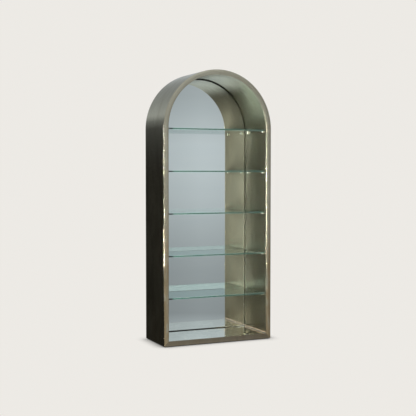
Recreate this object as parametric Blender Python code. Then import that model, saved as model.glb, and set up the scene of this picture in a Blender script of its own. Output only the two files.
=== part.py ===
"""Open arched display cabinet: metal-clad walls, mirrored back, five glass shelves on pegs, levelling feet.

Metres, +Z up. The front faces -Y and X runs across the width. The origin is on the floor, under the
middle of the cabinet. The walls follow one hoop: up the left side, over a half-round arch, down the right.
"""

import math

import bmesh
import bpy

# Overall size
WIDTH = 0.914
DEPTH = 0.406
HEIGHT = 2.134
FOOT_GAP = 0.006  # floor to underside of the cabinet

# Wall build-up, from the outside in: wrap, board, liner
WALL = 0.038
SKIN = 0.001  # sheet metal
FIT = 0.0003  # gap between pieces that touch
ARC_STEPS = 48
SHARP = math.radians(35)  # edges sharper than this stay crisp

# Front trim
TRIM_DEPTH = 0.005
TRIM_CROWN = 0.0018  # how far its face falls away from the middle to each edge
TRIM_EASE = 0.0008
CROWN_STEPS = 8

# Back
BACK_BOARD = 0.009
REBATE = 0.010  # how far the back board laps over the walls
MIRROR_GLASS = 0.005
MIRROR_MARGIN = 0.0045  # open shadow line around the mirror

# Floor tray inside
TRAY_FLANGE = 0.007
TRAY_BEND = 0.004
BEND_STEPS = 5
LINER_SHADOW = 0.003  # open line between the tray's flange and the liner

# Shelves and their pegs
SHELVES = 5
SHELF_GLASS = 0.010
SHELF_ARRIS = 0.001
SHELF_SET_BACK = 0.0225
SHELF_SIDE_GAP = 0.0015
SHELF_BACK_GAP = 0.004
PEG_DEPTHS = (0.065, 0.330)  # behind the cabinet's front
PEG_SHANK = 0.0025
PEG_SHANK_LENGTH = 0.012
PEG_BODY = 0.0045
PEG_BAND = 0.0053  # raised ring that carries the glass
PEG_LENGTH = 0.013
PEG_BAND_SPAN = (0.004, 0.010)
PEG_SIDES = 12
PEG_HOLE_GAP = 0.0003

# Levelling feet
FOOT_X = 0.385
FOOT_Y = 0.150
PAD_RADIUS = 0.016
PAD_SOCKET = 0.0053
PAD_FLOOR = 0.002
STUD_FOOT = 0.005
STUD_THREAD = 0.004
STUD_TOP = 0.036
HEX_ACROSS_FLATS = 0.013
HEX_HEIGHT = 0.005
POCKET_RADIUS = 0.012
POCKET_DEPTH = 0.0062
INSERT_RADIUS = 0.0055
INSERT_BORE = 0.0043
INSERT_LENGTH = 0.024
FOOT_SIDES = 16
HEX_SIDES = 12
SMALL_EASE = 0.001
OVERCUT = 0.001  # how far a cutter starts outside its board

# Screws of the back board
SCREW_INSET = 0.0325  # from the cabinet's outer face
SCREW_HEAD = 0.0038
SCREW_SHANK = 0.0018
SCREW_HEAD_DEPTH = 0.0022
SCREW_LENGTH = 0.024
SCREW_TIP = 0.0005
SCREW_TAPER = 0.004
SCREW_HOLE_GAP = 0.0004
SCREW_SIDES = 10
SIDE_SCREW_HEIGHTS = (0.12, 0.86, 1.60)
ARCH_SCREW_ANGLES = (30, 70, 110, 150)
BASE_SCREW_X = (-0.21, 0.21)

# Worked out from the above
OUTER = WIDTH / 2
INNER = OUTER - WALL
SPRING_Z = HEIGHT - OUTER  # where the straight walls meet the arch
BASE_Z = FOOT_GAP
FLOOR_Z = BASE_Z + WALL  # inside floor
FRONT = -DEPTH / 2
BACK = DEPTH / 2
BODY_FRONT = FRONT + TRIM_DEPTH + FIT
LEDGE = BACK - BACK_BOARD - FIT  # where the walls are rebated for the back board
MIRROR_FRONT = LEDGE - MIRROR_GLASS
BOARD_OUTSET = SKIN + FIT
BOARD_INSET = WALL - SKIN - FIT
BAY = (SPRING_Z - FLOOR_Z) / SHELVES - SHELF_GLASS  # clear height between shelves


def clear_scene():
    for obj in list(bpy.data.objects):
        bpy.data.objects.remove(obj)


def make_material(name, colour, roughness, metallic=0.0, transmission=0.0):
    made = bpy.data.materials.new(name)
    made.use_nodes = True
    shader = made.node_tree.nodes["Principled BSDF"]
    shader.inputs["Base Color"].default_value = (*colour, 1.0)
    shader.inputs["Roughness"].default_value = roughness
    shader.inputs["Metallic"].default_value = metallic
    shader.inputs["Transmission Weight"].default_value = transmission
    return made


def mesh_from(name, bm):
    bmesh.ops.recalc_face_normals(bm, faces=bm.faces)
    mesh = bpy.data.meshes.new(name)
    bm.to_mesh(mesh)
    bm.free()
    mesh.shade_smooth()
    mesh.set_sharp_from_angle(angle=SHARP)
    return mesh


def add(name, mesh, material, location=(0, 0, 0), turn=0.0, parent=None):
    """Places a mesh as a named object. turn is about Z."""
    obj = bpy.data.objects.new(name, mesh)
    bpy.context.scene.collection.objects.link(obj)
    if not mesh.materials:
        mesh.materials.append(material)
    obj.location = location
    obj.rotation_euler.z = turn
    obj.parent = parent
    return obj


# Solids -----------------------------------------------------------------------------------------------


def skin_rings(bm, rings):
    """Closes a row of equal rings of points into one solid with flat ends."""
    made = [[bm.verts.new(point) for point in ring] for ring in rings]
    for near, far in zip(made, made[1:]):
        for i in range(len(near)):
            j = (i + 1) % len(near)
            bm.faces.new((near[i], near[j], far[j], far[i]))
    bm.faces.new(made[0])
    bm.faces.new(made[-1])


def leg(side, z):
    """Hoop station on a straight wall: the outer point and the inward direction, both in X and Z."""
    return (side * OUTER, z), (-side, 0.0)


def ray(angle):
    """Hoop station on the arch, at an angle from +X about its centre."""
    cos, sin = math.cos(angle), math.sin(angle)
    return (OUTER * cos, SPRING_Z + OUTER * sin), (-cos, -sin)


def mitre(side, shift=0.0):
    """Hoop station on the 45 degree joint at a bottom corner. shift moves it along the base."""
    return (side * (OUTER - shift), BASE_Z), (-side, 1.0)


def arch_stations():
    return [ray(math.pi * (1 - i / ARC_STEPS)) for i in range(ARC_STEPS + 1)]


def sweep(name, profile, stations):
    """Runs a profile of (inset from the outer face, y) points through the stations."""
    bm = bmesh.new()
    rings = []
    for (x, z), (dx, dz) in stations:
        rings.append([(x + inset * dx, y, z + inset * dz) for inset, y in profile])
    skin_rings(bm, rings)
    return mesh_from(name, bm)


def box_profile(inset_a, inset_b, y_a, y_b):
    return [(inset_a, y_a), (inset_b, y_a), (inset_b, y_b), (inset_a, y_b)]


def board_profile():
    """A wall board's section: a rectangle with a rebate at its inner back corner for the back board."""
    shoulder = WALL - REBATE
    return [
        (BOARD_OUTSET, BODY_FRONT),
        (BOARD_INSET, BODY_FRONT),
        (BOARD_INSET, LEDGE),
        (shoulder, LEDGE),
        (shoulder, BACK),
        (BOARD_OUTSET, BACK),
    ]


def trim_profile():
    """The front trim's section: flat back, eased edges and a crowned face."""
    rear = FRONT + TRIM_DEPTH
    edge = FRONT + TRIM_CROWN
    points = [(WALL, rear), (0.0, rear), (0.0, edge + TRIM_EASE)]
    for i in range(CROWN_STEPS + 1):
        across = i / CROWN_STEPS
        inset = TRIM_EASE + across * (WALL - 2 * TRIM_EASE)
        points.append((inset, FRONT + TRIM_CROWN * (2 * across - 1) ** 2))
    points.append((WALL, edge + TRIM_EASE))
    return points


def arched_outline(half_width, bottom_z):
    """Outline of a plate with a half-round top centred on the arch."""
    outline = [(-half_width, bottom_z)]
    for i in range(ARC_STEPS + 1):
        angle = math.pi * (1 - i / ARC_STEPS)
        outline.append((half_width * math.cos(angle), SPRING_Z + half_width * math.sin(angle)))
    outline.append((half_width, bottom_z))
    return outline


def extrude_y(name, outline, y_a, y_b):
    bm = bmesh.new()
    skin_rings(bm, [[(x, y, z) for x, z in outline] for y in (y_a, y_b)])
    return mesh_from(name, bm)


def extrude_x(name, outline, x_a, x_b):
    bm = bmesh.new()
    skin_rings(bm, [[(x, y, z) for y, z in outline] for x in (x_a, x_b)])
    return mesh_from(name, bm)


def turned(bm, rings, sides, axis="z", centre=(0.0, 0.0, 0.0)):
    """Adds a turned solid. Each ring is (distance along the axis, radius), or has a third item, True,
    where it is a hexagon of that half width across its flats."""
    built = []
    for along, radius, *hexagonal in rings:
        ring = []
        for i in range(sides):
            angle = 2 * math.pi * i / sides
            corner = 1 / math.cos(math.pi / 6) if hexagonal and i % 2 == 0 else 1.0
            across, up = radius * corner * math.cos(angle), radius * corner * math.sin(angle)
            x, y, z = {
                "x": (along, across, up),
                "y": (up, along, across),
                "z": (across, up, along),
            }[axis]
            ring.append((centre[0] + x, centre[1] + y, centre[2] + z))
        built.append(ring)
    skin_rings(bm, built)


def turned_mesh(name, rings, sides, axis="z"):
    bm = bmesh.new()
    turned(bm, rings, sides, axis)
    return mesh_from(name, bm)


def cutter(name, solids, sides, axis):
    """One hidden helper that holds several turned solids, each (rings, centre)."""
    bm = bmesh.new()
    for rings, centre in solids:
        turned(bm, rings, sides, axis, centre)
    helper = bpy.data.objects.new(name, mesh_from(name, bm))
    bpy.context.scene.collection.objects.link(helper)
    helper.hide_render = True
    helper.display_type = "WIRE"
    return helper


def cut(obj, *helpers):
    for helper in helpers:
        hole = obj.modifiers.new(helper.name, "BOOLEAN")
        hole.operation = "DIFFERENCE"
        hole.object = helper


# Places -----------------------------------------------------------------------------------------------


def shelf_underside(number):
    return FLOOR_Z + number * BAY + (number - 1) * SHELF_GLASS


def peg_height(number):
    return shelf_underside(number) - FIT - PEG_BAND


def peg_places(side):
    """(shelf number, front or back, y, z) of each peg in one wall."""
    for number in range(1, SHELVES + 1):
        for end, depth in zip(("front", "back"), PEG_DEPTHS):
            yield number, end, FRONT + depth, peg_height(number)


def screw_places():
    """(x, z) of each back board screw, grouped by the board it goes into."""
    side_x = OUTER - SCREW_INSET
    arch = [math.radians(angle) for angle in ARCH_SCREW_ANGLES]
    return {
        "left": [(-side_x, z) for z in SIDE_SCREW_HEIGHTS],
        "right": [(side_x, z) for z in SIDE_SCREW_HEIGHTS],
        "arch": [(side_x * math.cos(a), SPRING_Z + side_x * math.sin(a)) for a in arch],
        "base": [(x, BASE_Z + SCREW_INSET) for x in BASE_SCREW_X],
    }


def foot_places():
    for end, y in (("front", -FOOT_Y), ("back", FOOT_Y)):
        for side, x in (("left", -FOOT_X), ("right", FOOT_X)):
            yield f"{end}_{side}", x, y


# Helpers that cut the holes ----------------------------------------------------------------------------


def peg_hole_cutter(side):
    start = side * (INNER - OVERCUT)
    end = side * (INNER + PEG_SHANK_LENGTH + FIT)
    radius = PEG_SHANK + PEG_HOLE_GAP
    rings = [(min(start, end), radius), (max(start, end), radius)]
    solids = [(rings, (0.0, y, z)) for _, _, y, z in peg_places(side)]
    return cutter(f"peg_holes_{side}", solids, PEG_SIDES, "x")


def screw_hole_cutter(group, places):
    head = SCREW_HEAD + SCREW_HOLE_GAP
    shank = SCREW_SHANK + SCREW_HOLE_GAP
    slope = (head - shank) / SCREW_HEAD_DEPTH
    rings = [
        (BACK - SCREW_LENGTH - 2 * FIT, shank),
        (BACK - SCREW_HEAD_DEPTH, shank),
        (BACK + OVERCUT, head + slope * OVERCUT),
    ]
    solids = [(rings, (x, 0.0, z)) for x, z in places]
    return cutter(f"screw_holes_{group}", solids, SCREW_SIDES, "y")


def foot_hole_cutter():
    insert_top = BASE_Z + POCKET_DEPTH + FIT + INSERT_LENGTH + FIT
    hole = INSERT_RADIUS + FIT
    rings = [
        (BASE_Z - OVERCUT, POCKET_RADIUS),
        (BASE_Z + POCKET_DEPTH, POCKET_RADIUS),
        (BASE_Z + POCKET_DEPTH, hole),
        (insert_top, hole),
    ]
    return cutter("foot_holes", [(rings, (x, y, 0.0)) for _, x, y in foot_places()], FOOT_SIDES, "z")


# Pieces ------------------------------------------------------------------------------------------------


def build_walls(materials, holes):
    hoop = arch_stations()
    from_floor = [leg(-1, BASE_Z), *hoop, leg(1, BASE_Z)]
    liner_foot = FLOOR_Z + TRAY_FLANGE + LINER_SHADOW
    from_tray = [leg(-1, liner_foot), *hoop, leg(1, liner_foot)]

    wrap = sweep("outer_wrap", box_profile(0.0, SKIN, BODY_FRONT, BACK), from_floor)
    add("outer_wrap", wrap, materials["clad_bronze"])
    liner = sweep("inner_liner", box_profile(WALL - SKIN, WALL, BODY_FRONT, LEDGE), from_tray)
    cut(add("inner_liner", liner, materials["clad_bronze"]), holes["pegs_left"], holes["pegs_right"])

    board = board_profile()
    for name, side in (("left", -1), ("right", 1)):
        mesh = sweep(f"side_board_{name}", board, [leg(side, BASE_Z), leg(side, SPRING_Z - FIT)])
        obj = add(f"side_board_{name}", mesh, materials["board"])
        cut(obj, holes[f"pegs_{name}"], holes[f"screws_{name}"])
    arch = add("arch_board", sweep("arch_board", board, hoop), materials["board"])
    cut(arch, holes["screws_arch"])


def build_base(materials, holes):
    top = FLOOR_Z - SKIN - FIT
    shoulder = BASE_Z + WALL - REBATE
    half_width = OUTER - BOARD_INSET - FIT
    section = [
        (BODY_FRONT, BASE_Z),
        (BACK, BASE_Z),
        (BACK, shoulder),
        (LEDGE, shoulder),
        (LEDGE, top),
        (BODY_FRONT, top),
    ]
    base = add("base_board", extrude_x("base_board", section, -half_width, half_width), materials["board"])
    cut(base, holes["feet"], holes["screws_base"])
    add("floor_tray", extrude_y("floor_tray", tray_outline(), BODY_FRONT, LEDGE), materials["clad_bronze"])


def flange_curve(radius):
    """The right-hand bend of the tray at one radius, from the floor up to the flange's rim."""
    bend_x, bend_z = INNER - TRAY_BEND, FLOOR_Z + TRAY_BEND
    points = []
    for i in range(BEND_STEPS + 1):
        angle = math.radians(90 * (i / BEND_STEPS - 1))
        points.append((bend_x + radius * math.cos(angle), bend_z + radius * math.sin(angle)))
    points.append((bend_x + radius, FLOOR_Z + TRAY_FLANGE))
    return points


def tray_outline():
    """The tray's section: a flat sheet with a coved flange turned up along each side wall."""
    over = flange_curve(TRAY_BEND)
    under = flange_curve(TRAY_BEND + SKIN)
    over_left = [(-x, z) for x, z in reversed(over)]
    under_left = [(-x, z) for x, z in under]
    return [*over_left, *over, *reversed(under), *under_left]


def build_front(materials):
    profile = trim_profile()
    hoop = sweep("front_hoop", profile, [mitre(-1), *arch_stations(), mitre(1)])
    add("front_hoop", hoop, materials["trim_bronze"])
    rail = sweep("front_rail", profile, [mitre(-1, 2 * FIT), mitre(1, 2 * FIT)])
    add("front_rail", rail, materials["trim_bronze"])


def build_back(materials, holes):
    board = arched_outline(INNER + REBATE - FIT, BASE_Z + WALL - REBATE + FIT)
    obj = add("back_board", extrude_y("back_board", board, LEDGE + FIT, BACK), materials["back_black"])
    cut(obj, *(holes[f"screws_{group}"] for group in screw_places()))
    glass = arched_outline(INNER - MIRROR_MARGIN, FLOOR_Z + MIRROR_MARGIN)
    add("mirror", extrude_y("mirror", glass, MIRROR_FRONT, LEDGE), materials["mirror"])


def build_shelves(materials):
    half_width = INNER - SHELF_SIDE_GAP
    front = FRONT + SHELF_SET_BACK
    back = MIRROR_FRONT - SHELF_BACK_GAP
    upper = SHELF_GLASS - SHELF_ARRIS
    levels = ((0.0, SHELF_ARRIS), (SHELF_ARRIS, 0.0), (upper, 0.0), (SHELF_GLASS, SHELF_ARRIS))
    rings = []
    for z, ease in levels:
        x, y = half_width - ease, (back - front) / 2 - ease
        rings.append([(-x, -y, z), (x, -y, z), (x, y, z), (-x, y, z)])
    bm = bmesh.new()
    skin_rings(bm, rings)
    mesh = mesh_from("shelf", bm)
    for number in range(1, SHELVES + 1):
        place = (0.0, (front + back) / 2, shelf_underside(number))
        add(f"shelf_{number}", mesh, materials["shelf_glass"], place)


def build_pegs(materials):
    band_a, band_b = PEG_BAND_SPAN
    rings = [
        (PEG_SHANK_LENGTH, PEG_SHANK),
        (-FIT, PEG_SHANK),
        (-FIT, PEG_BODY),
        (-band_a, PEG_BODY),
        (-band_a, PEG_BAND),
        (-band_b, PEG_BAND),
        (-band_b, PEG_BODY),
        (-PEG_LENGTH, PEG_BODY),
    ]
    mesh = turned_mesh("shelf_peg", rings, PEG_SIDES, "x")
    for name, side in (("left", -1), ("right", 1)):
        for number, end, y, z in peg_places(side):
            turn = math.pi if side < 0 else 0.0
            place = (side * INNER, y, z)
            add(f"peg_{number}_{name}_{end}", mesh, materials["steel"], place, turn)


def build_screws(materials):
    rings = [
        (BACK - SCREW_LENGTH, SCREW_TIP),
        (BACK - SCREW_LENGTH + SCREW_TAPER, SCREW_SHANK),
        (BACK - SCREW_HEAD_DEPTH - FIT, SCREW_SHANK),
        (BACK - FIT, SCREW_HEAD),
    ]
    mesh = turned_mesh("back_screw", rings, SCREW_SIDES, "y")
    for group, places in screw_places().items():
        for number, (x, z) in enumerate(places, 1):
            add(f"back_screw_{group}_{number}", mesh, materials["steel"], (x, 0.0, z))


def foot_insert():
    """Threaded sleeve, fixed in the base board."""
    foot = BASE_Z + POCKET_DEPTH + FIT
    top = foot + INSERT_LENGTH
    section = [(INSERT_RADIUS, foot), (INSERT_RADIUS, top), (INSERT_BORE, top), (INSERT_BORE, foot)]
    bm = bmesh.new()
    rings = []
    for i in range(FOOT_SIDES):
        angle = 2 * math.pi * i / FOOT_SIDES
        cos, sin = math.cos(angle), math.sin(angle)
        rings.append([bm.verts.new((radius * cos, radius * sin, z)) for radius, z in section])
    for near, far in zip(rings, rings[1:] + rings[:1]):
        for i in range(len(section)):
            j = (i + 1) % len(section)
            bm.faces.new((near[i], near[j], far[j], far[i]))
    return mesh_from("foot_insert", bm)


def foot_stud():
    """Threaded stud with a hexagon to turn it by and a round foot that swivels in the pad."""
    hex_half = HEX_ACROSS_FLATS / 2
    hex_foot = BASE_Z + FIT
    hex_top = hex_foot + HEX_HEIGHT
    rings = [
        (PAD_FLOOR + FIT, STUD_FOOT),
        (hex_foot, STUD_FOOT),
        (hex_foot, hex_half, True),
        (hex_top, hex_half, True),
        (hex_top, STUD_THREAD),
        (STUD_TOP - SMALL_EASE, STUD_THREAD),
        (STUD_TOP, STUD_THREAD - SMALL_EASE),
    ]
    return turned_mesh("foot_stud", rings, HEX_SIDES)


def foot_pad():
    """Round pad that stands on the floor, with a socket in its top for the stud's foot."""
    top = BASE_Z - FIT
    rings = [
        (0.0, PAD_RADIUS - SMALL_EASE),
        (SMALL_EASE, PAD_RADIUS),
        (top - SMALL_EASE, PAD_RADIUS),
        (top, PAD_RADIUS - SMALL_EASE),
        (top, PAD_SOCKET),
        (PAD_FLOOR, PAD_SOCKET),
    ]
    return turned_mesh("foot_pad", rings, FOOT_SIDES)


def build_feet(materials):
    """Each foot's pieces hang on an empty that stands on the foot's axis."""
    insert, stud, pad = foot_insert(), foot_stud(), foot_pad()
    for name, x, y in foot_places():
        axis = bpy.data.objects.new(f"foot_axis_{name}", None)
        bpy.context.scene.collection.objects.link(axis)
        axis.location = (x, y, 0.0)
        add(f"foot_insert_{name}", insert, materials["steel"], parent=axis)
        add(f"foot_stud_{name}", stud, materials["steel"], parent=axis)
        add(f"foot_pad_{name}", pad, materials["pad_plastic"], parent=axis)


def main():
    clear_scene()
    materials = {
        "clad_bronze": make_material("clad_bronze", (0.34, 0.31, 0.24), 0.34, 1.0),
        "trim_bronze": make_material("trim_bronze", (0.40, 0.36, 0.28), 0.32, 1.0),
        "board": make_material("board", (0.05, 0.045, 0.04), 0.8),
        "back_black": make_material("back_black", (0.02, 0.02, 0.02), 0.6),
        "mirror": make_material("mirror", (0.80, 0.86, 0.86), 0.02, 1.0),
        "shelf_glass": make_material("shelf_glass", (0.62, 0.85, 0.76), 0.02, 0.0, 1.0),
        "steel": make_material("steel", (0.62, 0.61, 0.58), 0.25, 1.0),
        "pad_plastic": make_material("pad_plastic", (0.03, 0.03, 0.03), 0.5),
    }
    holes = {
        "pegs_left": peg_hole_cutter(-1),
        "pegs_right": peg_hole_cutter(1),
        "feet": foot_hole_cutter(),
    }
    for group, places in screw_places().items():
        holes[f"screws_{group}"] = screw_hole_cutter(group, places)
    build_walls(materials, holes)
    build_base(materials, holes)
    build_front(materials)
    build_back(materials, holes)
    build_shelves(materials)
    build_pegs(materials)
    build_screws(materials)
    build_feet(materials)


main()
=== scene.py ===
"""Looks of the arched display cabinet, in a plain soft studio.

Patinated bronze sheet, a silvered mirror and green-edged glass shelves on nickel pegs, with the boards,
screws and levelling feet behind them.

Metres, +Z up. The front faces -Y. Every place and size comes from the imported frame.
"""

import math

import bmesh
import bpy
from mathutils import Matrix, Vector


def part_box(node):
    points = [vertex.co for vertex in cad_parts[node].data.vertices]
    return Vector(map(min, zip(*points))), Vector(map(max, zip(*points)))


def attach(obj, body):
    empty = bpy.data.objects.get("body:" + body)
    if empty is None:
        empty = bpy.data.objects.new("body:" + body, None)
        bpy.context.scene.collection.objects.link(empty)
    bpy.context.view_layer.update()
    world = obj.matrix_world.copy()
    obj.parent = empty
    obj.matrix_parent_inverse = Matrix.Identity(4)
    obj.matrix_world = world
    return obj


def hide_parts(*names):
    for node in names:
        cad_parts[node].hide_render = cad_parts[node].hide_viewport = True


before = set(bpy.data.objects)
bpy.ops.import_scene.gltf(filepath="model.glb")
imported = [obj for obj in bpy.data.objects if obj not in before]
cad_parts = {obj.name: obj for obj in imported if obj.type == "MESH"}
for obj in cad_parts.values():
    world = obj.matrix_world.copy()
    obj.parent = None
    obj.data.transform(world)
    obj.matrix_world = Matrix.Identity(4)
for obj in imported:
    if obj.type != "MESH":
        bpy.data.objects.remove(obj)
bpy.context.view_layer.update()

# Places that the frame gives
HOOP_LOW, HOOP_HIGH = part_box("front_hoop")
WRAP_LOW, WRAP_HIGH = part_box("outer_wrap")
LINER_LOW, LINER_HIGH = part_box("inner_liner")
TRAY_LOW, TRAY_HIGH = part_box("floor_tray")
MIRROR_LOW, MIRROR_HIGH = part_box("mirror")
BACK_LOW, BACK_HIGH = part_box("back_board")
_, RAIL_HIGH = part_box("front_rail")

# Thickness of the metal sheets, and the cabinet's main lines
SKIN = 0.001
OUTER = HOOP_HIGH.x
INNER = LINER_HIGH.x - SKIN
WALL = OUTER - INNER
SPRING_Z = HOOP_HIGH.z - OUTER
BASE_Z = HOOP_LOW.z
FLOOR_Z = RAIL_HIGH.z

# Fineness of curves, and how faces are shaded: flat above BROAD_FACE (m2), creased above SHARP
ARC_STEPS = 144
ROUND_STEPS = 40
HARDWARE_STEPS = 32
EDGE_STEPS = 4
CROWN_STEPS = 16
COVE_STEPS = 10
SHARP = math.radians(32)
BROAD_FACE = 0.05

# Fine shapes of sheets, trim and glass
CROWN = 0.0009
TRIM_EDGE = 0.0001
MITRE_GAP = 0.0006
SHEET_EDGE = 0.0002
COVE_RADIUS = 0.004
MIRROR_BEVEL = 0.0030
MIRROR_BEVEL_DEPTH = 0.0009
BACK_EDGE = 0.0006
SHELF_ARRIS = 0.0011
SHELF_CORNER = 0.0030

# Pegs and their sleeves, as radii and as distances out from the wall's face
PEG_HOLE = 0.0028
PEG_SHANK = 0.0025
PEG_SHANK_LENGTH = 0.012
PEG_BODY = 0.0045
PEG_WAIST = 0.0042
PEG_NOSE = 0.0009
WAIST_FROM, WAIST_TO = 0.0040, 0.0100
SLEEVE_FROM, SLEEVE_TO = 0.0041, 0.0099
SLEEVE_INNER, SLEEVE_OUTER = 0.00425, 0.0053

# Screws and their holes
SCREW_HOLE = 0.0022
COUNTERSINK = 0.0051
COUNTERSINK_DEPTH = 0.0022
SCREW_SHANK = 0.0018
RECESS_REACH, RECESS_HALF, RECESS_DEPTH = 0.0021, 0.0005, 0.0016

# Levelling feet
THREAD_PITCH = 0.00125
THREAD_DEPTH = 0.00061
THREAD_RADIUS = 0.004
STUD_FOOT = 0.005
HEXAGON_LOW, HEXAGON_HIGH, HEXAGON_FLATS, HEXAGON_CHAMFER = 0.0003, 0.0053, 0.013, 0.0007
INSERT_OUTER, INSERT_BORE, KNURL = 0.0055, 0.0043, 0.00025

# Studio
KEY_PLACE, KEY_AIM = (-2.74, -1.36, 1.02), (0.15, 0.0, 1.00)
KEY_WIDTH, KEY_HEIGHT, KEY_POWER, KEY_COLOUR = 0.26, 1.5, 1180.0, (1.0, 1.0, 0.93)
FLOOR_REACH = 40.0
BACKDROP = (0.845, 0.823, 0.784)
DRAPE = (0.060, 0.057, 0.048)
DARK_CORNER = (0.010, 0.009, 0.007)
CAMERA_PLACE = Vector((-2.890, -6.483, 1.341))
CAMERA_AZIMUTH = math.radians(24.01)
CAMERA_PITCH = math.radians(-2.33)
CAMERA_LENS = 76.8


# Shader helpers ----------------------------------------------------------------------------------------


def new_material(name):
    made = bpy.data.materials.new(name)
    made.use_nodes = True
    return made, made.node_tree, made.node_tree.nodes["Principled BSDF"]


def socket(tree, target, value):
    """Links a node's output to a socket, or sets the socket's own value."""
    if isinstance(value, bpy.types.NodeSocket):
        tree.links.new(value, target)
    elif hasattr(value, "__len__") and len(value) == 3 and target.type == "RGBA":
        target.default_value = (*value, 1.0)
    else:
        target.default_value = value


def math_node(tree, operation, *values):
    node = tree.nodes.new("ShaderNodeMath")
    node.operation = operation
    for target, value in zip(node.inputs, values):
        socket(tree, target, value)
    return node.outputs[0]


def ramp(tree, value, *stops):
    """Colour ramp; each stop is (position, grey level or colour)."""
    node = tree.nodes.new("ShaderNodeValToRGB")
    socket(tree, node.inputs[0], value)
    elements = node.color_ramp.elements
    while len(elements) < len(stops):
        elements.new(0.5)
    for element, (position, level) in zip(elements, stops):
        element.position = position
        element.color = (*level, 1.0) if hasattr(level, "__len__") else (level, level, level, 1.0)
    return node.outputs[0]


def remap(tree, value, low, high, to_low=0.0, to_high=1.0, smooth=False):
    node = tree.nodes.new("ShaderNodeMapRange")
    node.interpolation_type = "SMOOTHSTEP" if smooth else "LINEAR"
    socket(tree, node.inputs["Value"], value)
    for name, number in (("From Min", low), ("From Max", high), ("To Min", to_low), ("To Max", to_high)):
        node.inputs[name].default_value = number
    return node.outputs[0]


def mix(tree, share, first, second, blend="MIX"):
    node = tree.nodes.new("ShaderNodeMix")
    node.data_type = "RGBA"
    node.blend_type = blend
    socket(tree, node.inputs["Factor"], share)
    colours = [item for item in node.inputs if item.type == "RGBA"]
    socket(tree, colours[0], first)
    socket(tree, colours[1], second)
    return next(item for item in node.outputs if item.type == "RGBA")


def scaled(tree, vector, scale):
    node = tree.nodes.new("ShaderNodeVectorMath")
    node.operation = "MULTIPLY"
    socket(tree, node.inputs[0], vector)
    node.inputs[1].default_value = scale
    return node.outputs[0]


def noise(tree, vector, scale=1.0, detail=2.0, roughness=0.5, distortion=0.0):
    node = tree.nodes.new("ShaderNodeTexNoise")
    socket(tree, node.inputs["Vector"], vector)
    for name, number in (
        ("Scale", scale),
        ("Detail", detail),
        ("Roughness", roughness),
        ("Distortion", distortion),
    ):
        node.inputs[name].default_value = number
    return node.outputs["Fac"]


def position(tree):
    return tree.nodes.new("ShaderNodeTexCoord").outputs["Object"]


def bump(tree, height, strength, distance, below=None):
    node = tree.nodes.new("ShaderNodeBump")
    node.inputs["Strength"].default_value = strength
    node.inputs["Distance"].default_value = distance
    socket(tree, node.inputs["Height"], height)
    if below is not None:
        socket(tree, node.inputs["Normal"], below)
    return node.outputs[0]


def hoop_position(tree):
    """A point's place in the hoop's own frame: distance from its middle line, depth, and length along it."""
    split = tree.nodes.new("ShaderNodeSeparateXYZ")
    socket(tree, split.inputs[0], position(tree))
    x, y, z = split.outputs
    side = math_node(tree, "ABSOLUTE", x)
    rise = math_node(tree, "MAXIMUM", math_node(tree, "SUBTRACT", z, SPRING_Z), 0.0)
    square = math_node(tree, "ADD", math_node(tree, "POWER", side, 2.0), math_node(tree, "POWER", rise, 2.0))
    radius = math_node(tree, "SQRT", square)
    arc = math_node(tree, "MULTIPLY", math_node(tree, "ARCTAN2", rise, side), OUTER)
    along = math_node(tree, "ADD", math_node(tree, "MINIMUM", z, SPRING_Z), arc)
    signed = math_node(tree, "MULTIPLY", math_node(tree, "SIGN", x), along)
    join = tree.nodes.new("ShaderNodeCombineXYZ")
    for target, value in zip(join.inputs, (radius, y, signed)):
        socket(tree, target, value)
    return join.outputs[0], z


# Materials ---------------------------------------------------------------------------------------------


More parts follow.
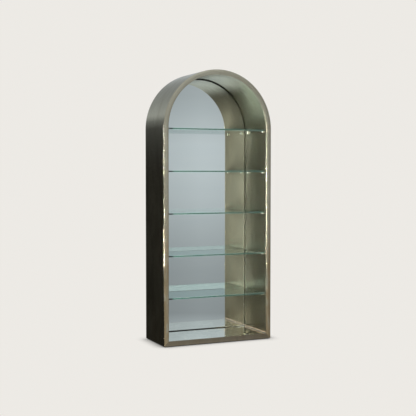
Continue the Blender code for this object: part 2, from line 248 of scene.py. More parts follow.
def patina(
    name, light, dark, roughness, *,
    spread=0.10, streak=0.10, dents=0.10, seed=0.0, foot=0.75, reach=0.55, cove_highlight=None,
):
    """Bronze sheet, brushed along its length, with a smoky patina that turns brown towards the floor.

    The brown is strongest at the floor, by the amount foot, and fades out at the height reach.
    The cove colour is a painted highlight: a pale colour given to the sheet just above the cabinet floor,
    along its coved flange.
    """
    made, tree, shader = new_material(name)
    place, height = hoop_position(tree)
    shifted = tree.nodes.new("ShaderNodeVectorMath")
    socket(tree, shifted.inputs[0], place)
    shifted.inputs[1].default_value = (seed, seed * 0.7, seed * 1.3)
    place = shifted.outputs[0]
    clouds = noise(tree, scaled(tree, place, (5.0, 5.0, 2.1)), 1.0, 6.0, 0.62, 0.5)
    wisps = noise(tree, scaled(tree, place, (24.0, 24.0, 4.0)), 1.0, 5.0, 0.6, 1.1)
    brush = noise(tree, scaled(tree, place, (520.0, 520.0, 7.0)), 1.0, 3.0, 0.7)
    specks = noise(tree, place, 260.0, 3.0, 0.7)

    cloud_share = math_node(tree, "MULTIPLY", clouds, 0.62)
    smoke = math_node(tree, "ADD", cloud_share, math_node(tree, "MULTIPLY", wisps, 0.38))
    lightness = remap(tree, smoke, 0.36, 0.62, smooth=True)
    colour = mix(tree, lightness, dark, light)
    brown = tuple(level * tone for level, tone in zip(dark, (1.0, 0.84, 0.66)))
    low = remap(tree, height, 0.0, reach, foot, 0.0, smooth=True)
    colour = mix(tree, math_node(tree, "MULTIPLY", low, remap(tree, wisps, 0.35, 0.65)), colour, brown)
    grain = remap(tree, brush, 0.3, 0.7, 1.0 - streak, 1.0 + streak)
    colour = mix(tree, 1.0, colour, grain, "MULTIPLY")
    colour = mix(tree, ramp(tree, specks, (0.66, 0.0), (0.76, 0.45)), colour, brown)
    # Painted highlight: the sheet above the cabinet floor, up its coved flange, is given a pale colour.
    if cove_highlight:
        colour = mix(tree, remap(tree, height, FLOOR_Z + 0.0002, FLOOR_Z + 0.0012), colour, cove_highlight)
    socket(tree, shader.inputs["Base Color"], colour)
    shader.inputs["Metallic"].default_value = 1.0
    gloss = remap(tree, smoke, 0.36, 0.62, roughness + spread / 2, roughness - spread / 2)
    gloss = math_node(tree, "ADD", gloss, remap(tree, brush, 0.3, 0.7, -0.02, 0.03))
    socket(tree, shader.inputs["Roughness"], gloss)
    wave = bump(tree, noise(tree, scaled(tree, place, (4.0, 4.0, 1.6)), 1.0, 1.0), dents, 0.004)
    socket(tree, shader.inputs["Normal"], bump(tree, brush, 0.12, 0.0002, wave))
    return made


def silvering():
    """Clear mirror whose bevel is painted near-black, a painted shadow line for the gap round the mirror, and
    a few faint wiping marks.
    """
    made, tree, shader = new_material("silvered_mirror")
    place = position(tree)
    facing = tree.nodes.new("ShaderNodeNewGeometry")
    split = tree.nodes.new("ShaderNodeSeparateXYZ")
    socket(tree, split.inputs[0], facing.outputs["Normal"])
    face = remap(tree, split.outputs[1], -0.995, -0.97, 1.0, 0.0)
    marks = noise(tree, scaled(tree, place, (1.4, 1.0, 9.0)), 1.0, 4.0, 0.6, 0.4)
    tone = mix(tree, remap(tree, marks, 0.35, 0.7), (0.885, 0.935, 0.935), (0.865, 0.92, 0.925))
    # The near-black bevel colour is painted shade: it stands in for the shadow line of the gap round the
    # mirror.
    socket(tree, shader.inputs["Base Color"], mix(tree, face, (0.035, 0.040, 0.036), tone))
    shader.inputs["Metallic"].default_value = 1.0
    smear = remap(tree, marks, 0.5, 0.8, 0.004, 0.03)
    bevel_blur = remap(tree, face, 0.0, 1.0, 0.5, 0.0)
    socket(tree, shader.inputs["Roughness"], math_node(tree, "MAXIMUM", smear, bevel_blur))
    return made


def float_glass():
    """Glass with clear faces and a breath of dust; its satin edges are dark green and nearly opaque."""
    made, tree, shader = new_material("float_glass")
    place = position(tree)
    facing = tree.nodes.new("ShaderNodeNewGeometry")
    split = tree.nodes.new("ShaderNodeSeparateXYZ")
    socket(tree, split.inputs[0], facing.outputs["Normal"])
    flat = math_node(tree, "ABSOLUTE", split.outputs[2])
    ground = remap(tree, flat, 0.2, 0.9, 0.05, 0.0)
    dust = remap(tree, noise(tree, place, 9.0, 5.0, 0.65), 0.55, 0.8, 0.0, 0.02)
    socket(tree, shader.inputs["Roughness"], math_node(tree, "ADD", ground, dust))
    clear = remap(tree, flat, 0.2, 0.9)
    socket(tree, shader.inputs["Base Color"], mix(tree, clear, (0.0002, 0.024, 0.017), (1.0, 1.0, 1.0)))
    socket(tree, shader.inputs["Transmission Weight"], remap(tree, clear, 0.0, 1.0, 0.06, 1.0))
    shader.inputs["IOR"].default_value = 1.52
    body = tree.nodes.new("ShaderNodeVolumeAbsorption")
    body.inputs["Color"].default_value = (0.0, 0.925, 0.82, 1.0)
    body.inputs["Density"].default_value = 16.0
    tree.links.new(body.outputs[0], tree.nodes["Material Output"].inputs["Volume"])
    return made


def plated(name, colour, roughness):
    """Turned and plated metal: fine lathe rings, slightly dulled in patches."""
    rings, tarnish = 900.0, 0.25
    made, tree, shader = new_material(name)
    place = position(tree)
    rough = noise(tree, place, 160.0, 4.0, 0.6)
    dull = tuple(level * (1.0 - tarnish) for level in colour)
    socket(tree, shader.inputs["Base Color"], mix(tree, remap(tree, rough, 0.35, 0.7), colour, dull))
    shader.inputs["Metallic"].default_value = 1.0
    socket(tree, shader.inputs["Roughness"], remap(tree, rough, 0.3, 0.7, roughness * 0.7, roughness * 1.4))
    wave = tree.nodes.new("ShaderNodeTexWave")
    wave.bands_direction = "X"
    socket(tree, wave.inputs["Vector"], place)
    wave.inputs["Scale"].default_value = rings
    wave.inputs["Distortion"].default_value = 0.6
    socket(tree, shader.inputs["Normal"], bump(tree, wave.outputs["Fac"], 0.08, 0.0001))
    return made


def fibreboard():
    """Raw cut fibreboard: short brown fibres with darker flecks."""
    made, tree, shader = new_material("fibreboard")
    place = position(tree)
    fibres = noise(tree, scaled(tree, place, (900.0, 320.0, 900.0)), 1.0, 4.0, 0.7, 0.4)
    stains = noise(tree, place, 5.0, 4.0, 0.6)
    dark, middling, light = (0.075, 0.052, 0.034), (0.155, 0.112, 0.074), (0.235, 0.175, 0.12)
    colour = ramp(tree, fibres, (0.30, dark), (0.55, middling), (0.75, light))
    stained = remap(tree, stains, 0.4, 0.7, 0.0, 0.5)
    socket(tree, shader.inputs["Base Color"], mix(tree, stained, colour, (0.07, 0.05, 0.035)))
    shader.inputs["Roughness"].default_value = 0.86
    socket(tree, shader.inputs["Normal"], bump(tree, fibres, 0.35, 0.0004))
    return made


def black_paint():
    """Matt black paint rolled on hardboard: orange peel, scuffs and a little dust."""
    made, tree, shader = new_material("black_paint")
    place = position(tree)
    peel = noise(tree, place, 420.0, 3.0, 0.55)
    dust = noise(tree, scaled(tree, place, (3.0, 3.0, 1.6)), 1.0, 7.0, 0.66)
    scuffs = noise(tree, scaled(tree, place, (60.0, 60.0, 6.0)), 1.0, 6.0, 0.75, 1.5)
    colour = mix(tree, remap(tree, dust, 0.42, 0.75), (0.020, 0.020, 0.021), (0.052, 0.050, 0.048))
    colour = mix(tree, ramp(tree, scuffs, (0.68, 0.0), (0.76, 0.35)), colour, (0.12, 0.115, 0.11))
    socket(tree, shader.inputs["Base Color"], colour)
    socket(tree, shader.inputs["Roughness"], remap(tree, dust, 0.35, 0.75, 0.42, 0.66))
    socket(tree, shader.inputs["Normal"], bump(tree, peel, 0.25, 0.0003))
    return made


def moulded(name, colour, roughness):
    """Moulded plastic with a fine spark-eroded grain."""
    grain = 700.0
    made, tree, shader = new_material(name)
    place = position(tree)
    texture = noise(tree, place, grain, 3.0, 0.6)
    lighter = tuple(min(1.0, level * 1.5 + 0.01) for level in colour)
    socket(tree, shader.inputs["Base Color"], mix(tree, remap(tree, texture, 0.3, 0.75), colour, lighter))
    blur = remap(tree, texture, 0.3, 0.7, roughness - 0.06, roughness + 0.08)
    socket(tree, shader.inputs["Roughness"], blur)
    socket(tree, shader.inputs["Normal"], bump(tree, texture, 0.2, 0.0002))
    return made


# Mesh helpers ------------------------------------------------------------------------------------------


def piece(name, bm, material, body, slot, *nodes):
    """Turns a bmesh into a finished piece that rides on a body and stands for CAD nodes."""
    bmesh.ops.remove_doubles(bm, verts=bm.verts, dist=1e-7)
    bmesh.ops.recalc_face_normals(bm, faces=bm.faces)
    mesh = bpy.data.meshes.new(name)
    bm.to_mesh(mesh)
    bm.free()
    return piece_of(name, mesh, material, body, slot, *nodes)


def shade(mesh):
    """Smooth shading, with sharp creases and with broad plates kept truly flat."""
    mesh.shade_smooth()
    mesh.set_sharp_from_angle(angle=SHARP)
    for face in mesh.polygons:
        if face.area > BROAD_FACE:
            face.use_smooth = False


def piece_of(name, mesh, material, body, slot, *nodes):
    shade(mesh)
    if not mesh.materials:
        mesh.materials.append(material)
    obj = bpy.data.objects.new(name, mesh)
    bpy.context.scene.collection.objects.link(obj)
    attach(obj, body)
    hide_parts(*nodes)
    return obj


def skin(bm, rings, closed=False):
    """Joins equal rings of points into a solid: closed into a loop, or with a cap at each end."""
    made = [[bm.verts.new(point) for point in ring] for ring in rings]
    pairs = list(zip(made, made[1:]))
    if closed:
        pairs.append((made[-1], made[0]))
    for near, far in pairs:
        for i in range(len(near)):
            j = (i + 1) % len(near)
            bm.faces.new((near[i], near[j], far[j], far[i]))
    if not closed:
        bm.faces.new(made[0])
        bm.faces.new(made[-1])


def leg(side, z):
    return (side * OUTER, z), (-side, 0.0)


def ray(angle):
    cos, sin = math.cos(angle), math.sin(angle)
    return (OUTER * cos, SPRING_Z + OUTER * sin), (-cos, -sin)


def mitre(side, shift=0.0):
    return (side * (OUTER - shift), BASE_Z), (-side, 1.0)


def leg_stations(side, low, high, step=0.04):
    count = max(1, round((high - low) / step))
    heights = [low + (high - low) * i / count for i in range(count)]
    return [leg(side, z) for z in heights]


def arch_stations():
    return [ray(math.pi * (1 - i / ARC_STEPS)) for i in range(ARC_STEPS + 1)]


def hoop_stations(low):
    """From the foot of the left wall, over the arch, to the foot of the right wall."""
    left = leg_stations(-1, low, SPRING_Z)
    right = leg_stations(1, low, SPRING_Z)
    return [*left, *arch_stations(), *reversed(right)]


def sweep(bm, profile, stations):
    rings = []
    for (x, z), (dx, dz) in stations:
        rings.append([(x + inset * dx, y, z + inset * dz) for inset, y in profile])
    skin(bm, rings)


def eased_box(low_a, high_a, low_b, high_b, ease):
    """Rectangle with its corners cut by ease."""
    return [
        (low_a + ease, low_b),
        (high_a - ease, low_b),
        (high_a, low_b + ease),
        (high_a, high_b - ease),
        (high_a - ease, high_b),
        (low_a + ease, high_b),
        (low_a, high_b - ease),
        (low_a, low_b + ease),
    ]


def rounded(centre, radius, start, end, steps=EDGE_STEPS):
    """Points on an arc from one angle to another, in degrees."""
    points = []
    for i in range(steps + 1):
        angle = math.radians(start + (end - start) * i / steps)
        points.append((centre[0] + radius * math.cos(angle), centre[1] + radius * math.sin(angle)))
    return points


def arched_outline(half_width, bottom_z, inset=0.0):
    """Outline of a plate with a half-round top, counted from its lower left corner."""
    reach = half_width - inset
    outline = [(-reach, bottom_z + inset)]
    for i in range(ARC_STEPS + 1):
        angle = math.pi * (1 - i / ARC_STEPS)
        outline.append((reach * math.cos(angle), SPRING_Z + reach * math.sin(angle)))
    outline.append((reach, bottom_z + inset))
    return outline


def stacked(bm, half_width, bottom_z, levels):
    """Arched plate built of outlines at several depths, each (y, inset)."""
    rings = []
    for y, inset in levels:
        rings.append([(x, y, z) for x, z in arched_outline(half_width, bottom_z, inset)])
    skin(bm, rings)


def turned(bm, rings, steps=ROUND_STEPS, axis="z"):
    """Turned solid about an axis; each ring is (distance along it, radius)."""
    built = []
    for along, radius in rings:
        ring = []
        for i in range(steps):
            angle = 2 * math.pi * i / steps
            across, up = radius * math.cos(angle), radius * math.sin(angle)
            ring.append({"x": (along, across, up), "y": (up, along, across), "z": (across, up, along)}[axis])
        built.append(ring)
    skin(bm, built)


def cut_holes(obj, cutter_bm):
    """Cuts a set of holes out of a piece and leaves no helper behind."""
    bmesh.ops.recalc_face_normals(cutter_bm, faces=cutter_bm.faces)
    mesh = bpy.data.meshes.new("holes")
    cutter_bm.to_mesh(mesh)
    cutter_bm.free()
    helper = bpy.data.objects.new("holes", mesh)
    bpy.context.scene.collection.objects.link(helper)
    cut = obj.modifiers.new("holes", "BOOLEAN")
    cut.operation = "DIFFERENCE"
    cut.object = helper
    graph = bpy.context.evaluated_depsgraph_get()
    finished = bpy.data.meshes.new_from_object(obj.evaluated_get(graph))
    obj.modifiers.remove(cut)
    obj.data = finished
    bpy.data.objects.remove(helper)
    shade(finished)


def node_names(start):
    return sorted(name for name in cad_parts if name.startswith(start))


def middle(name):
    low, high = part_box(name)
    return (low + high) / 2


# Cabinet -----------------------------------------------------------------------------------------------


def make_wrap(material):
    bm = bmesh.new()
    profile = eased_box(0.0, SKIN, WRAP_LOW.y, WRAP_HIGH.y, SHEET_EDGE)
    sweep(bm, profile, hoop_stations(WRAP_LOW.z))
    piece("outer_wrap_sheet", bm, material, "cabinet", "clad_bronze", "outer_wrap")


def make_liner(material):
    bm = bmesh.new()
    profile = eased_box(WALL - SKIN, WALL, LINER_LOW.y, LINER_HIGH.y, SHEET_EDGE)
    sweep(bm, profile, hoop_stations(LINER_LOW.z))
    obj = piece("inner_liner_sheet", bm, material, "cabinet", "clad_bronze", "inner_liner")
    holes = bmesh.new()
    for name in node_names("peg_"):
        at = middle(name)
        start = math.copysign(INNER - SKIN, at.x)
        end = math.copysign(INNER + 2 * SKIN, at.x)
        before = set(holes.verts)
        turned(holes, [(start, PEG_HOLE), (end, PEG_HOLE)], 24, "x")
        fresh = [vert for vert in holes.verts if vert not in before]
        bmesh.ops.translate(holes, verts=fresh, vec=(0.0, at.y, at.z))
    cut_holes(obj, holes)


def trim_profile():
    """Crowned face with rounded edges and a flat back."""
    rear = HOOP_HIGH.y
    front = HOOP_LOW.y
    edge = front + CROWN + TRIM_EDGE
    points = [(WALL, rear), (0.0, rear)]
    points += rounded((TRIM_EDGE, edge), TRIM_EDGE, 180, 258)
    for i in range(1, CROWN_STEPS):
        across = i / CROWN_STEPS
        inset = TRIM_EDGE + across * (WALL - 2 * TRIM_EDGE)
        points.append((inset, front + CROWN * (2 * across - 1) ** 2))
    points += rounded((WALL - TRIM_EDGE, edge), TRIM_EDGE, 282, 360)
    return points


def make_front(material, rail_material):
    profile = trim_profile()
    sides = [leg_stations(side, BASE_Z + WALL, SPRING_Z, 0.08) for side in (-1, 1)]
    bm = bmesh.new()
    sweep(bm, profile, [mitre(-1), *sides[0], *arch_stations(), *reversed(sides[1]), mitre(1)])
    piece("front_hoop_trim", bm, material, "cabinet", "trim_bronze", "front_hoop")
    bm = bmesh.new()
    sweep(bm, profile, [mitre(-1, MITRE_GAP), mitre(1, MITRE_GAP)])
    piece("front_rail_trim", bm, rail_material, "cabinet", "trim_bronze", "front_rail")


def make_tray(material):
    """Flat floor sheet with a coved flange turned up along each wall."""
    rim = TRAY_HIGH.z
    centre = (INNER - COVE_RADIUS, FLOOR_Z + COVE_RADIUS)
    over = [*rounded(centre, COVE_RADIUS, -90, 0, COVE_STEPS), (INNER, rim)]
    under = [*rounded(centre, COVE_RADIUS + SKIN, -90, 0, COVE_STEPS), (INNER + SKIN, rim)]
    outline = [(-x, z) for x, z in reversed(over)] + over + under[::-1] + [(-x, z) for x, z in under]
    bm = bmesh.new()
    skin(bm, [[(x, y, z) for x, z in outline] for y in (TRAY_LOW.y, TRAY_HIGH.y)])
    piece("floor_tray_sheet", bm, material, "cabinet", "clad_bronze", "floor_tray")


def make_mirror(material):
    bm = bmesh.new()
    front, back = MIRROR_LOW.y, MIRROR_HIGH.y
    levels = [(front, MIRROR_BEVEL), (front + MIRROR_BEVEL_DEPTH, 0.0), (back, 0.0)]
    stacked(bm, MIRROR_HIGH.x, MIRROR_LOW.z, levels)
    piece("mirror_glass", bm, material, "cabinet", "mirror", "mirror")


def screw_axes():
    return [(name, middle(name)) for name in node_names("back_screw_")]


def make_back(material):
    bm = bmesh.new()
    front, back = BACK_LOW.y, BACK_HIGH.y
    levels = [(front, 0.0), (back - BACK_EDGE, 0.0), (back, BACK_EDGE)]
    stacked(bm, BACK_HIGH.x, BACK_LOW.z, levels)
    obj = piece("back_board_painted", bm, material, "cabinet", "back_black", "back_board")
    holes = bmesh.new()
    for _, at in screw_axes():
        before = set(holes.verts)
        rings = [(front - SKIN, SCREW_HOLE), (back - COUNTERSINK_DEPTH, SCREW_HOLE)]
        rings.append((back + 0.001, COUNTERSINK))
        turned(holes, rings, HARDWARE_STEPS, "y")
        fresh = [vert for vert in holes.verts if vert not in before]
        bmesh.ops.translate(holes, verts=fresh, vec=(at.x, 0.0, at.z))
    cut_holes(obj, holes)


def make_boards(material):
    """The wall boards keep their CAD shape."""
    for name in ("side_board_left", "side_board_right", "arch_board", "base_board"):
        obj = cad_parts[name]
        obj.data.materials.clear()
        obj.data.materials.append(material)


# Shelves and pegs --------------------------------------------------------------------------------------


def shelf_mesh(low, high):
    """Glass plate with rounded upright corners and a rounded arris all round."""
    half_x, half_y = (high.x - low.x) / 2, (high.y - low.y) / 2
    thick = high.z - low.z
    rings = []
    for level in range(2 * EDGE_STEPS + 2):
        top = level > EDGE_STEPS
        step = level - EDGE_STEPS - 1 if top else level
        angle = math.radians(90 * step / EDGE_STEPS)
        turn = math.sin(angle) if not top else math.cos(angle)
        rise = 1 - math.cos(angle) if not top else math.sin(angle)
        inset = SHELF_ARRIS * (1 - turn)
        z = SHELF_ARRIS * rise if not top else thick - SHELF_ARRIS * (1 - rise)
        ring = []
        for sign_x, sign_y, start in ((1, -1, -90), (1, 1, 0), (-1, 1, 90), (-1, -1, 180)):
            centre = (sign_x * (half_x - SHELF_CORNER), sign_y * (half_y - SHELF_CORNER))
            for x, y in rounded(centre, SHELF_CORNER - inset, start, start + 90, 6):
                ring.append((x, y, z))
        rings.append(ring)
    bm = bmesh.new()
    skin(bm, rings)
    return bm


def make_shelves(material):
    for name in node_names("shelf_"):
        low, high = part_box(name)
        bm = shelf_mesh(low, high)
        bmesh.ops.translate(bm, verts=bm.verts, vec=((low.x + high.x) / 2, (low.y + high.y) / 2, low.z))
        piece(f"{name}_glass", bm, material, name, "shelf_glass", name)


def peg_mesh(out):
    """Nickel peg along X: shank in the wall, collar, waist for the sleeve, and a domed nose at -out."""
    rings = [(PEG_SHANK_LENGTH, 0.0019), (0.0112, PEG_SHANK), (0.0003, PEG_SHANK), (0.0, 0.0030)]
    rings += [(-0.0003, PEG_BODY), (-0.0036, PEG_BODY), (-WAIST_FROM, PEG_WAIST)]
    rings += [(-WAIST_TO, PEG_WAIST), (-0.0104, PEG_BODY)]
    for i in range(5):
        angle = math.radians(90 * i / 4)
        along = -(out - PEG_NOSE) - PEG_NOSE * math.sin(angle)
        rings.append((along, PEG_BODY - PEG_NOSE * (1 - math.cos(angle))))
    rings.append((-out, 0.0012))
    bm = bmesh.new()
    turned(bm, rings, HARDWARE_STEPS, "x")
    return bm


def sleeve_mesh():
    """Clear soft sleeve in the peg's waist, which the glass rests on."""
    section = eased_box(-SLEEVE_TO, -SLEEVE_FROM, SLEEVE_INNER, SLEEVE_OUTER, 0.0004)
    bm = bmesh.new()
    rings = []
    for i in range(HARDWARE_STEPS):
        angle = 2 * math.pi * i / HARDWARE_STEPS
        rings.append([(x, radius * math.cos(angle), radius * math.sin(angle)) for x, radius in section])
    skin(bm, rings, closed=True)
    return bm


def make_pegs(nickel, silicone):
    for name in node_names("peg_"):
        low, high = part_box(name)
        at = middle(name)
        side = math.copysign(1.0, at.x)
        out = INNER - min(abs(low.x), abs(high.x))
        turn = 0.0 if side > 0 else math.pi
        place = Matrix.Translation((side * INNER, at.y, at.z)) @ Matrix.Rotation(turn, 4, "Z")
        bm = peg_mesh(out)
        bmesh.ops.transform(bm, matrix=place, verts=bm.verts)
        piece(f"{name}_nickel", bm, nickel, "cabinet", "steel", name)
        bm = sleeve_mesh()
        bmesh.ops.transform(bm, matrix=place, verts=bm.verts)
        piece(f"{name}_sleeve", bm, silicone, "cabinet", "silicone")


# Hidden hardware ---------------------------------------------------------------------------------------


def cross_outline(reach, half):
    """Outline of a cross recess: four arms of one width."""
    outline = []
    for quarter in range(4):
        angle = math.pi / 2 * quarter
        cos, sin = math.cos(angle), math.sin(angle)
        for x, z in ((reach, -half), (reach, half), (half, half)):
            outline.append((x * cos - z * sin, x * sin + z * cos))
    return outline


def make_screws(material):
    """Countersunk screws with a cross recess."""
    for name, at in screw_axes():
        low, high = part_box(name)
        head = (high.z - low.z) / 2
        rings = [(low.y, 0.0005), (low.y + 0.004, SCREW_SHANK)]
        rings += [(high.y - COUNTERSINK_DEPTH, SCREW_SHANK), (high.y - 0.0003, head)]
        rings += [(high.y, head - 0.0003), (high.y, 0.0008)]
        bm = bmesh.new()
        turned(bm, rings, HARDWARE_STEPS, "y")
        bmesh.ops.translate(bm, verts=bm.verts, vec=(at.x, 0.0, at.z))
        obj = piece(f"{name}_head", bm, material, "cabinet", "steel", name)
        cross = bmesh.new()
        rings = [
            [(at.x + x * k, y, at.z + z * k) for x, z in cross_outline(RECESS_REACH, RECESS_HALF)]
            for y, k in ((high.y - RECESS_DEPTH, 0.45), (high.y + 0.0004, 1.05))
        ]
        skin(cross, rings)
        cut_holes(obj, cross)


def thread_mesh(low_z, high_z, radius, sides=24):
    """Upright screw thread: one helical V groove, faded out at both ends, with flat closed ends."""
    turns = (high_z - low_z) / THREAD_PITCH
    steps = int(turns * 6)
    bm = bmesh.new()
    rings = []
    for k in range(steps + 1):
        z = low_z + (high_z - low_z) * k / steps
        fade = min(1.0, (z - low_z) / THREAD_PITCH, (high_z - z) / THREAD_PITCH)
        ring = []
        for i in range(sides):
            angle = 2 * math.pi * i / sides
            phase = (z / THREAD_PITCH - i / sides) % 1.0
            groove = THREAD_DEPTH * (1 - abs(2 * phase - 1)) * fade
            reach = radius - groove
            ring.append((reach * math.cos(angle), reach * math.sin(angle), z))
        rings.append(ring)
    skin(bm, rings)
    return bm


def hexagon(bm, low_z, high_z, across_flats, chamfer):
    """Hexagon with its corners turned down at both ends."""
    half = across_flats / 2
    rings = []
    steps = 48
    for z, cap in ((low_z, half), (low_z + chamfer, 1.0), (high_z - chamfer, 1.0), (high_z, half)):
        ring = []
        for i in range(steps):
            angle = 2 * math.pi * i / steps
            within = (angle % (math.pi / 3)) - math.pi / 6
            reach = min(half / math.cos(within), cap * 1.02)
            ring.append((reach * math.cos(angle), reach * math.sin(angle), z))
        rings.append(ring)
    skin(bm, rings)


def pad_mesh(low, high):
    """Round nylon pad with a socket for the stud, standing at the origin."""
    radius = (high.x - low.x) / 2
    top = high.z
    rings = [(0.0, radius - 0.0030), (0.0, radius - 0.0012), (0.0004, radius - 0.0004), (0.0012, radius)]
    rings += [(0.0024, radius), (0.0030, radius - 0.0008)]
    rings += [(top - 0.0008, radius - 0.0022), (top, radius - 0.0032)]
    rings += [(top, 0.0075), (top - 0.0006, 0.0062), (top - 0.0006, 0.0053), (0.0020, 0.0053)]
    bm = bmesh.new()
    turned(bm, rings, 48)
    return bm


def stud_meshes(low, high):
    """The stud's thread, and the hexagon with the foot that turns in the pad."""
    hex_low, hex_high = BASE_Z + HEXAGON_LOW, BASE_Z + HEXAGON_HIGH
    thread = thread_mesh(hex_high - 0.0002, high.z, THREAD_RADIUS)
    collar = bmesh.new()
    hexagon(collar, hex_low, hex_high, HEXAGON_FLATS, HEXAGON_CHAMFER)
    rings = [(low.z, 0.0046), (low.z + 0.0004, STUD_FOOT), (hex_low + 0.0002, STUD_FOOT)]
    turned(collar, rings, HARDWARE_STEPS)
    return thread, collar


def insert_mesh(low, high):
    """Threaded insert with a knurled outside and eased rims."""
    section = [(INSERT_OUTER - 0.0004, low), (INSERT_OUTER, low + 0.0004)]
    section += [(INSERT_OUTER, high - 0.001), (INSERT_OUTER - 0.001, high)]
    section += [(INSERT_BORE, high), (INSERT_BORE, low + 0.0005), (INSERT_BORE + 0.0005, low)]
    rings = []
    for i in range(ROUND_STEPS):
        angle = 2 * math.pi * i / ROUND_STEPS
        cos, sin = math.cos(angle), math.sin(angle)
        knurl = KNURL if i % 2 else 0.0
        rings.append([((radius - knurl) * cos, (radius - knurl) * sin, z) for radius, z in section])
    bm = bmesh.new()
    skin(bm, rings, closed=True)
    return bm


def make_feet(zinc, brass, nylon):
    for name in node_names("foot_pad_"):
        corner = name.removeprefix("foot_pad_")
        at = middle(name)
        insert_low, insert_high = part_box(f"foot_insert_{corner}")
        pad = pad_mesh(*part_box(name))
        thread, collar = stud_meshes(*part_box(f"foot_stud_{corner}"))
        insert = insert_mesh(insert_low.z, insert_high.z)
        move = Matrix.Translation((at.x, at.y, 0.0))
        for bm in (pad, thread, collar, insert):
            bmesh.ops.transform(bm, matrix=move, verts=bm.verts)
        piece(f"foot_pad_{corner}_moulded", pad, nylon, f"pad_{corner}", "pad_plastic", name)
        piece(f"foot_stud_{corner}_thread", thread, zinc, f"stud_{corner}", "steel")
        piece(f"foot_stud_{corner}_hexagon", collar, zinc, f"stud_{corner}", "steel", f"foot_stud_{corner}")
        piece(f"foot_insert_{corner}_knurled", insert, brass, "cabinet", "steel", f"foot_insert_{corner}")


# Studio ------------------------------------------------------------------------------------------------


def make_floor():
    """Plain pale floor with a painted contact shadow, darker only where the cabinet all but touches it, and
    clear from below.
    """
    made, tree, shader = new_material("studio_floor")
    tree.nodes.remove(shader)
    painted_contact_shadow = tree.nodes.new("ShaderNodeAmbientOcclusion")
    painted_contact_shadow.inputs["Distance"].default_value = 0.10
    painted_contact_shadow.samples = 8
    glow = tree.nodes.new("ShaderNodeEmission")
    # Painted shadow: ambient occlusion darkens the floor's even glow next to the cabinet.
    shade = ramp(tree, painted_contact_shadow.outputs["AO"], (0.0, 0.02), (0.5, 0.40), (0.95, 1.0))
    socket(tree, glow.inputs["Color"], mix(tree, 1.0, BACKDROP, shade, "MULTIPLY"))
    below = tree.nodes.new("ShaderNodeMixShader")
    socket(tree, below.inputs["Fac"], tree.nodes.new("ShaderNodeNewGeometry").outputs["Backfacing"])
    socket(tree, below.inputs[1], glow.outputs[0])
    socket(tree, below.inputs[2], tree.nodes.new("ShaderNodeBsdfTransparent").outputs[0])
    tree.links.new(below.outputs[0], tree.nodes["Material Output"].inputs["Surface"])
    bm = bmesh.new()
    bmesh.ops.create_grid(bm, x_segments=8, y_segments=8, size=FLOOR_REACH)
    mesh = bpy.data.meshes.new("studio_floor")
    bm.to_mesh(mesh)
    bm.free()
    mesh.materials.append(made)
    floor = bpy.data.objects.new("studio_floor", mesh)
    bpy.context.scene.collection.objects.link(floor)
    floor.visible_glossy = False
    floor.visible_diffuse = False
    floor.visible_shadow = False


def room_by_height(tree, z):
    """Colour of the room at each height, as seen from the cabinet: z is the sine of the angle above level."""
    low, high = -0.30, 0.40
    rise = remap(tree, z, low, high)
    levels = (
        (-0.30, 0.72), (-0.22, 0.62), (-0.185, 0.55), (-0.158, 0.30), (-0.11, 0.34), (-0.07, 0.42),
        (-0.03, 0.52), (0.0, 0.565), (0.03, 0.58), (0.055, 0.51), (0.085, 0.42), (0.14, 0.38),
        (0.17, 0.62), (0.21, 0.90), (0.40, 0.50),
    )
    room = ramp(tree, rise, *(((sine - low) / (high - low), level) for sine, level in levels))
    return mix(tree, 1.0, room, (0.945, 1.015, 1.035), "MULTIPLY")


def make_world():
    """Soft room: a pale bay on the front right, dark drapes on the left, and a pale ceiling."""
    world = bpy.data.worlds.new("studio")
    bpy.context.scene.world = world
    world.use_nodes = True
    tree = world.node_tree
    background = tree.nodes["Background"]
    direction = tree.nodes.new("ShaderNodeTexCoord").outputs["Generated"]
    split = tree.nodes.new("ShaderNodeSeparateXYZ")
    socket(tree, split.inputs[0], direction)
    x, y, z = split.outputs
    room = room_by_height(tree, z)

    square = math_node(tree, "ADD", math_node(tree, "POWER", x, 2.0), math_node(tree, "POWER", y, 2.0))
    level = math_node(tree, "MAXIMUM", math_node(tree, "SQRT", square), 0.001)
    side = math_node(tree, "DIVIDE", x, level)
    ahead = math_node(tree, "DIVIDE", y, level)
    to_left = remap(tree, side, 0.18, -0.06, smooth=True)
    front_left = math_node(tree, "MULTIPLY", to_left, remap(tree, ahead, 0.1, -0.1))
    edge_of_bay = remap(tree, side, 0.366, 0.398, 0.90, 1.0)
    past_bay = remap(tree, side, 0.40, 0.52, 1.0, 0.56, smooth=True)
    far_right = math_node(tree, "MULTIPLY", edge_of_bay, past_bay)
    room = mix(tree, 1.0, room, far_right, "MULTIPLY")
    behind = remap(tree, ahead, 0.2, 0.7, 1.0, 0.72)
    room = mix(tree, 1.0, room, behind, "MULTIPLY")
    under_ceiling = remap(tree, z, 0.35, 0.8, 1.0, 0.0, smooth=True)
    room = mix(tree, math_node(tree, "MULTIPLY", front_left, under_ceiling), room, DRAPE)
    to_far_left = remap(tree, side, 0.0, -0.3, smooth=True)
    back_left = math_node(tree, "MULTIPLY", to_far_left, remap(tree, ahead, 0.0, 0.3))
    low_corner = remap(tree, z, 0.0, 0.17, 1.0, 0.0, smooth=True)
    room = mix(tree, math_node(tree, "MULTIPLY", back_left, low_corner), room, DARK_CORNER)
    seen = tree.nodes.new("ShaderNodeLightPath").outputs["Is Camera Ray"]
    socket(tree, background.inputs["Color"], mix(tree, seen, room, BACKDROP))


def soft_light(name, place, aim, width, height, power, colour):
    data = bpy.data.lights.new(name, "AREA")
    data.shape = "RECTANGLE"
    data.size, data.size_y = width, height
    data.energy = power
    data.color = colour
    light = bpy.data.objects.new(name, data)
    bpy.context.scene.collection.objects.link(light)
    light.location = place
    light.rotation_euler = (Vector(aim) - Vector(place)).to_track_quat("-Z", "Y").to_euler()
    light.visible_camera = False


def make_lights():
    """One tall, narrow softbox, far round to the left, which rakes the right wall."""
    soft_light("key_softbox", KEY_PLACE, KEY_AIM, KEY_WIDTH, KEY_HEIGHT, KEY_POWER, KEY_COLOUR)


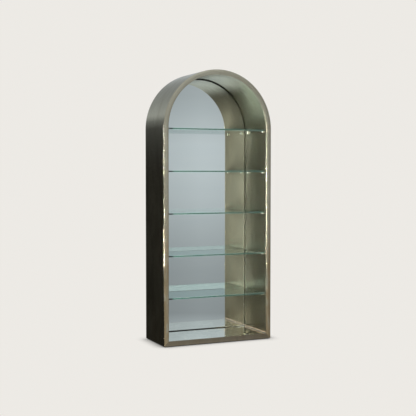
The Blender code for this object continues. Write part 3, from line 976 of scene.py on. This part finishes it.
def make_camera():
    data = bpy.data.cameras.new("camera")
    data.lens = CAMERA_LENS
    data.sensor_width = 36.0
    camera = bpy.data.objects.new("camera", data)
    bpy.context.scene.collection.objects.link(camera)
    camera.location = CAMERA_PLACE
    camera.rotation_euler = (math.pi / 2 + CAMERA_PITCH, 0.0, -CAMERA_AZIMUTH)
    bpy.context.scene.camera = camera
    bpy.context.scene.view_settings.view_transform = "Standard"


def make_patinas():
    """Bronze for the outside, the inside, the hoop, the rail and the cabinet floor; the outside is a darker
    copy of the inside bronze, as painted shade.
    """
    # Painted shade: the outer walls get the same bronze made darker, for the little light they catch.
    clad = patina("patina_outside_shaded", (0.47, 0.455, 0.365), (0.36, 0.34, 0.26), 0.15, spread=0.05)
    lining = patina(
        "patina_inside", (0.53, 0.51, 0.385), (0.40, 0.37, 0.265), 0.20,
        spread=0.03, streak=0.06, dents=0.05, seed=3.7,
    )
    trim = patina(
        "patina_trim", (0.60, 0.555, 0.44), (0.48, 0.43, 0.33), 0.24,
        seed=8.1, dents=0.05, foot=2.6, reach=1.2,
    )
    rail = patina(
        "patina_rail", (0.27, 0.235, 0.18), (0.19, 0.155, 0.11), 0.34,
        seed=1.9, dents=0.05, foot=0.4,
    )
    # The floor sheet's coved flange is given a pale painted highlight.
    deck = patina(
        "patina_floor", (0.62, 0.635, 0.60), (0.52, 0.53, 0.50), 0.11,
        spread=0.05, streak=0.06, dents=0.02, seed=5.3, foot=0.0, cove_highlight=(0.90, 0.90, 0.87),
    )
    return clad, lining, trim, rail, deck


def main():
    clad, lining, trim, rail, deck = make_patinas()
    nickel = plated("nickel", (0.74, 0.72, 0.67), 0.14)
    zinc = plated("zinc", (0.62, 0.63, 0.64), 0.3)
    brass = plated("brass_insert", (0.66, 0.50, 0.26), 0.32)
    silicone = moulded("silicone", (0.42, 0.43, 0.42), 0.35)
    make_wrap(clad)
    make_liner(lining)
    make_front(trim, rail)
    make_tray(deck)
    make_mirror(silvering())
    make_back(black_paint())
    make_boards(fibreboard())
    make_shelves(float_glass())
    make_pegs(nickel, silicone)
    make_screws(zinc)
    make_feet(zinc, brass, moulded("black_nylon", (0.018, 0.018, 0.019), 0.5))
    make_floor()
    make_world()
    make_lights()
    make_camera()


main()
